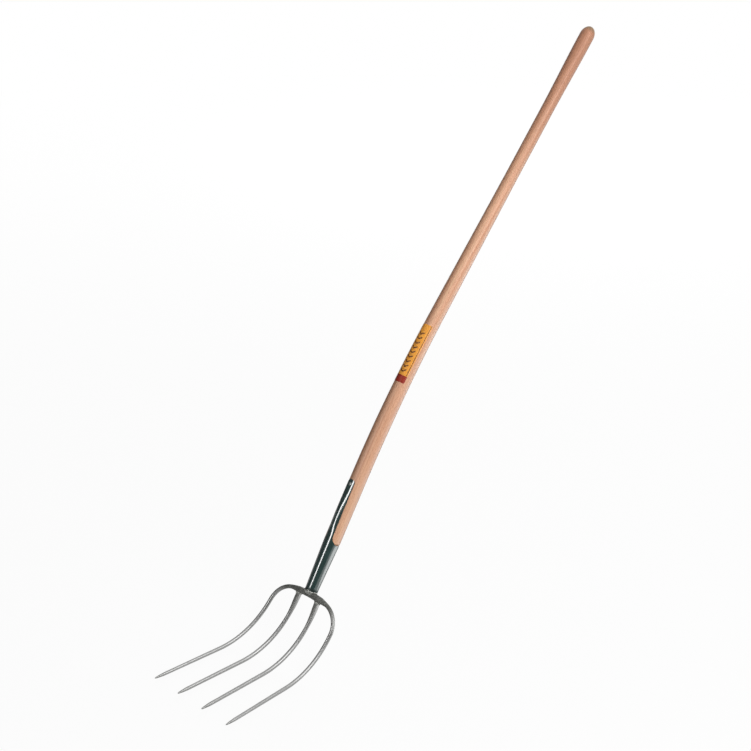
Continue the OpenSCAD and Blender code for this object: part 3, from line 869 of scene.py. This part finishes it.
vinyl_band = vinyl.reckon("LESS_THAN", vinyl_along, band_end)
vinyl_rule = printed(vinyl_across, rule_from, rule_to)
vinyl_slant = vinyl.reckon("SUBTRACT", vinyl_along, vinyl.reckon("MULTIPLY", vinyl_across, chevron_slope))
vinyl_zig = vinyl.reckon("LESS_THAN", vinyl.reckon("FLOORED_MODULO", vinyl_slant, chevron_pitch), chevron_w)
vinyl_row = vinyl.reckon("MULTIPLY", vinyl.reckon("LESS_THAN", vinyl_across, chevron_half),
                         printed(vinyl_slant, chevrons_from, chevrons_to))
vinyl_brown = vinyl.reckon("MAXIMUM", vinyl_rule, vinyl.reckon("MULTIPLY", vinyl_zig, vinyl_row))
vinyl_ruled = vinyl.blend(vinyl_brown, vinyl_amber, tone(120, 70, 28))
vinyl.fill(vinyl.surface, {
    "Base Color": vinyl.blend(vinyl_band, vinyl_ruled, tone(158, 44, 24)),
    "Roughness": vinyl.span(vinyl_ink, 0.3, 0.7, 0.26, 0.36),
    "Normal": vinyl.bump(vinyl_ink, strength=0.05),
})

corner_rows = np.array([0, 0.25, 0.8, 1.6, 2.4, label_corner])
label_rows = np.concatenate([corner_rows[:-1], np.arange(label_corner, label_len - label_corner, label_step),
                             label_len - corner_rows[::-1]])[:, None]
label_end = np.minimum(label_rows, label_len - label_rows)
label_half = label_w / 2 - label_corner + np.sqrt(
    np.clip(label_corner ** 2 - np.clip(label_corner - label_end, 0, None) ** 2, 0, None))
label_across = np.linspace(-1, 1, 41)[None, :] * label_half
label_along = np.broadcast_to(label_rows, label_across.shape)
label_under = wood_r(label_from + label_along) + label_glue
label_turn = label_across / label_under
label_inner = shaft_point(label_from + label_along, label_turn, label_under)
label_outer = shaft_point(label_from + label_along, label_turn, label_under + label_t)
label_points = np.concatenate([label_inner.reshape(-1, 3), label_outer.reshape(-1, 3)])
label_numbers = numbered(label_across)
label_rim = np.concatenate([label_numbers[0], label_numbers[1:, -1], label_numbers[-1, -2::-1],
                            label_numbers[-2::-1, 0]])
label_faces = patch(label_numbers[:, ::-1]) + patch(label_numbers + label_across.size)
label_faces += patch(np.stack([label_rim, label_rim + label_across.size]))
label_mark = np.stack([label_across, label_along, np.zeros_like(label_across)], -1).reshape(-1, 3)
label_sheet = build("label_sheet", label_points, label_faces, vinyl,
                    {"label_place": np.concatenate([label_mark, label_mark])})
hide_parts("label")


# Studio: a wide white floor that keeps the tool's soft shadow and fades into a white surround. Two soft
# lamps, at the upper right and behind, light the tool. The other lamps, the dark screen and the dark card on
# the floor show only as mirror images, the gleams and dark bands of the paint and the steel.
floor_half = 40.0
gloss_height = 120.0
white = (1.0, 1.0, 1.0, 1.0)
rightward = Vector((1, 0, 0))
backward = Vector((0, 1, 0))
upward = Vector((0, 0, 1))
socket_axis = Vector((0.0, math.cos(socket_rise), math.sin(socket_rise)))
socket_front = Vector((0.0, -math.sin(socket_rise), math.cos(socket_rise)))
socket_middle = Vector(in_use([0.0, 0.0, gloss_height]).tolist())


def straight_or_mirrored(finish):
    """1 for what is seen straight, in a mirror or through glass, and 0 for light that falls on the tool."""
    rays = finish.add("LightPath", {}).outputs
    mirrored = finish.reckon("MAXIMUM", rays["Is Glossy Ray"], rays["Is Transmission Ray"])
    return finish.reckon("MAXIMUM", rays["Is Camera Ray"], mirrored)


ground = Finish(bpy.data.materials.new("white_floor"))
ground.tree.nodes.remove(ground.surface)
ground_seen = straight_or_mirrored(ground)
ground_place = ground.add("NewGeometry", {}).outputs["Position"]
ground_far = ground.add("VectorMath", {0: ground_place}, operation="LENGTH").outputs["Value"]
ground_glow = ground.reckon("MULTIPLY", ground_seen, ground.span(ground_far, 1.0, 5.0, 0.92, 1.0))
ground_weave = ground.bands(ground.noise(ground_place, scale=2.0), [(0.3, tone(233, 233, 233)),
                                                                    (0.7, tone(235, 235, 235))])
ground_colour = ground.blend(ground_seen, tone(130, 130, 130), ground_weave)
ground_cloth = ground.add("BsdfDiffuse", {"Color": ground_colour})
ground_white = ground.add("Emission", {"Color": white, "Strength": 1.0})
ground_mix = ground.add("MixShader", {0: ground_glow, 1: ground_cloth.outputs["BSDF"],
                                      2: ground_white.outputs["Emission"]})
ground.fill(ground.tree.nodes["Material Output"], {"Surface": ground_mix.outputs["Shader"]})
floor_corners = [(-floor_half, -floor_half, 0), (floor_half, -floor_half, 0), (floor_half, floor_half, 0),
                 (-floor_half, floor_half, 0)]
floor_mesh = bpy.data.meshes.new("floor")
floor_mesh.from_pydata(floor_corners, [], [(0, 1, 2, 3)])
floor_mesh.materials.append(ground.material)
floor = bpy.data.objects.new("floor", floor_mesh)
bpy.context.scene.collection.objects.link(floor)

surround = bpy.data.worlds.new("white_surround")
bpy.context.scene.world = surround
sky = Finish(surround)
sky_fill = sky.tree.nodes["Background"]
sky.fill(sky_fill, {"Color": white, "Strength": 0.25})
sky_white = sky.add("Background", {"Color": white, "Strength": 1.0})
sky_mix = sky.add("MixShader", {0: straight_or_mirrored(sky), 1: sky_fill.outputs["Background"],
                                2: sky_white.outputs["Background"]})
sky.fill(sky.tree.nodes["World Output"], {"Surface": sky_mix.outputs["Shader"]})


def hang_lamp(name, aim, way, size, watts, long_side, mirrored):
    """A flat lamp that faces its aim from a way off, and either lights the tool or is only mirrored in it."""
    lamp = bpy.data.lights.new(name, "AREA")
    lamp.shape = "RECTANGLE"
    lamp.size, lamp.size_y = size
    lamp.energy = watts
    holder = bpy.data.objects.new(name, lamp)
    place = aim + way
    facing = way.normalized()
    length = (long_side - facing * long_side.dot(facing)).normalized()
    turned = holder.matrix_world.copy()
    for row in range(3):
        turned[row][0] = length.cross(facing)[row]
        turned[row][1] = length[row]
        turned[row][2] = facing[row]
        turned[row][3] = place[row]
    holder.matrix_world = turned
    holder.visible_camera = False
    holder.visible_glossy = mirrored
    holder.visible_diffuse = not mirrored
    bpy.context.scene.collection.objects.link(holder)


key_way = Vector((0.80, -0.095, 0.60)) * 4.5
hang_lamp("key_lamp", Vector((0, 0, 0.5)), key_way, size=(3.0, 3.0), watts=170.0, long_side=backward,
          mirrored=False)
rear_way = Vector((-0.55, 0.82, 0.15)) * 5.0
hang_lamp("rear_lamp", Vector((0, 0.1, 0.6)), rear_way, size=(2.0, 2.0), watts=200.0, long_side=upward,
          mirrored=False)
gleam_turn = math.radians(-3.9)
gleam_way = (socket_front * math.cos(gleam_turn) + rightward * math.sin(gleam_turn)) * 2.5
gleam_aim = socket_middle - socket_axis * 0.25
hang_lamp("gleam_lamp", gleam_aim, gleam_way, size=(0.62, 1.1), watts=24.0, long_side=socket_axis,
          mirrored=True)
sheen_way = Vector((0.64, 0.28, 0.72)) * 3.5
hang_lamp("sheen_lamp", Vector((0, -0.95, 0.1)), sheen_way, size=(2.6, 2.3), watts=51.0, long_side=backward,
          mirrored=True)
lying_way = Vector((0, 0, -0.998))
hang_lamp("table_lamp", Vector((0.41, 0.73, 1.0)), lying_way, size=(0.58, 1.74), watts=9.0,
          long_side=backward, mirrored=True)
hang_lamp("back_lamp", Vector((1.85, 1.5, 1.0)), lying_way, size=(2.7, 1.8), watts=72.0, long_side=backward,
          mirrored=True)

screen_r = 4.5
screen_from = -100
screen_to = 102
screen_slope_from = -75
screen_slope_to = -25
screen_low = -3.0
screen_high_left = 3.4
screen_high_right = 1.4
card_left = -3.0
card_right = -0.12
card_front = -0.2
card_back = 2.5
card_height = 0.003
dark = Finish(bpy.data.materials.new("dark_screen"))
dark_place = dark.add("NewGeometry", {}).outputs["Position"]
dark_right = dark.add("SeparateXYZ", {"Vector": dark_place}).outputs["X"]
dark_cloth = dark.bands(dark.noise(dark_place, scale=3.0), [(0.3, tone(6, 6, 6)), (0.7, tone(9, 9, 9))])
dark.fill(dark.surface, {
    "Base Color": dark.blend(dark.span(dark_right, -1.0, -3.5), dark_cloth, tone(105, 105, 105)),
    "Roughness": 1.0,
    "Specular IOR Level": 0.0,
})
screen_turns = np.radians(np.linspace(screen_from, screen_to, 37))
screen_count = len(screen_turns)
screen_tops = ease(np.degrees(screen_turns), screen_slope_from, screen_slope_to, screen_high_left,
                   screen_high_right)
screen_points = []
for ends in (np.full(screen_count, screen_low), screen_tops):
    for turn, end in zip(screen_turns, ends):
        out = socket_front * math.cos(turn) + rightward * math.sin(turn)
        screen_points.append(socket_middle + out * screen_r + socket_axis * float(end))
screen_faces = patch(np.arange(2 * screen_count).reshape(2, -1))
screen_faces.append(list(range(2 * screen_count, 2 * screen_count + 4)))
screen_points += [Vector((card_left, card_front, card_height)), Vector((card_right, card_front, card_height)),
                  Vector((card_right, card_back, card_height)), Vector((card_left, card_back, card_height))]
screen_mesh = bpy.data.meshes.new("dark_screen")
screen_mesh.from_pydata([tuple(point) for point in screen_points], [], screen_faces)
screen_mesh.materials.append(dark.material)
screen = bpy.data.objects.new("dark_screen", screen_mesh)
screen.visible_camera = False
screen.visible_diffuse = False
screen.visible_shadow = False
screen.visible_transmission = False
bpy.context.scene.collection.objects.link(screen)

camera_lens = bpy.data.cameras.new("photo_camera")
camera_lens.sensor_width = 36.0
camera_lens.lens = 77.09
camera = bpy.data.objects.new("photo_camera", camera_lens)
camera_turn = math.radians(45.018)
camera_rise = math.radians(23.709)
camera_back = Vector((math.sin(camera_turn) * math.cos(camera_rise),
                      -math.cos(camera_turn) * math.cos(camera_rise), math.sin(camera_rise)))
camera.location = (2.1687, -2.2405, 1.9010)
camera.rotation_mode = "QUATERNION"
camera.rotation_quaternion = (-camera_back).to_track_quat("-Z", "Y")
bpy.context.scene.collection.objects.link(camera)
bpy.context.scene.camera = camera
bpy.context.scene.view_settings.view_transform = "Standard"
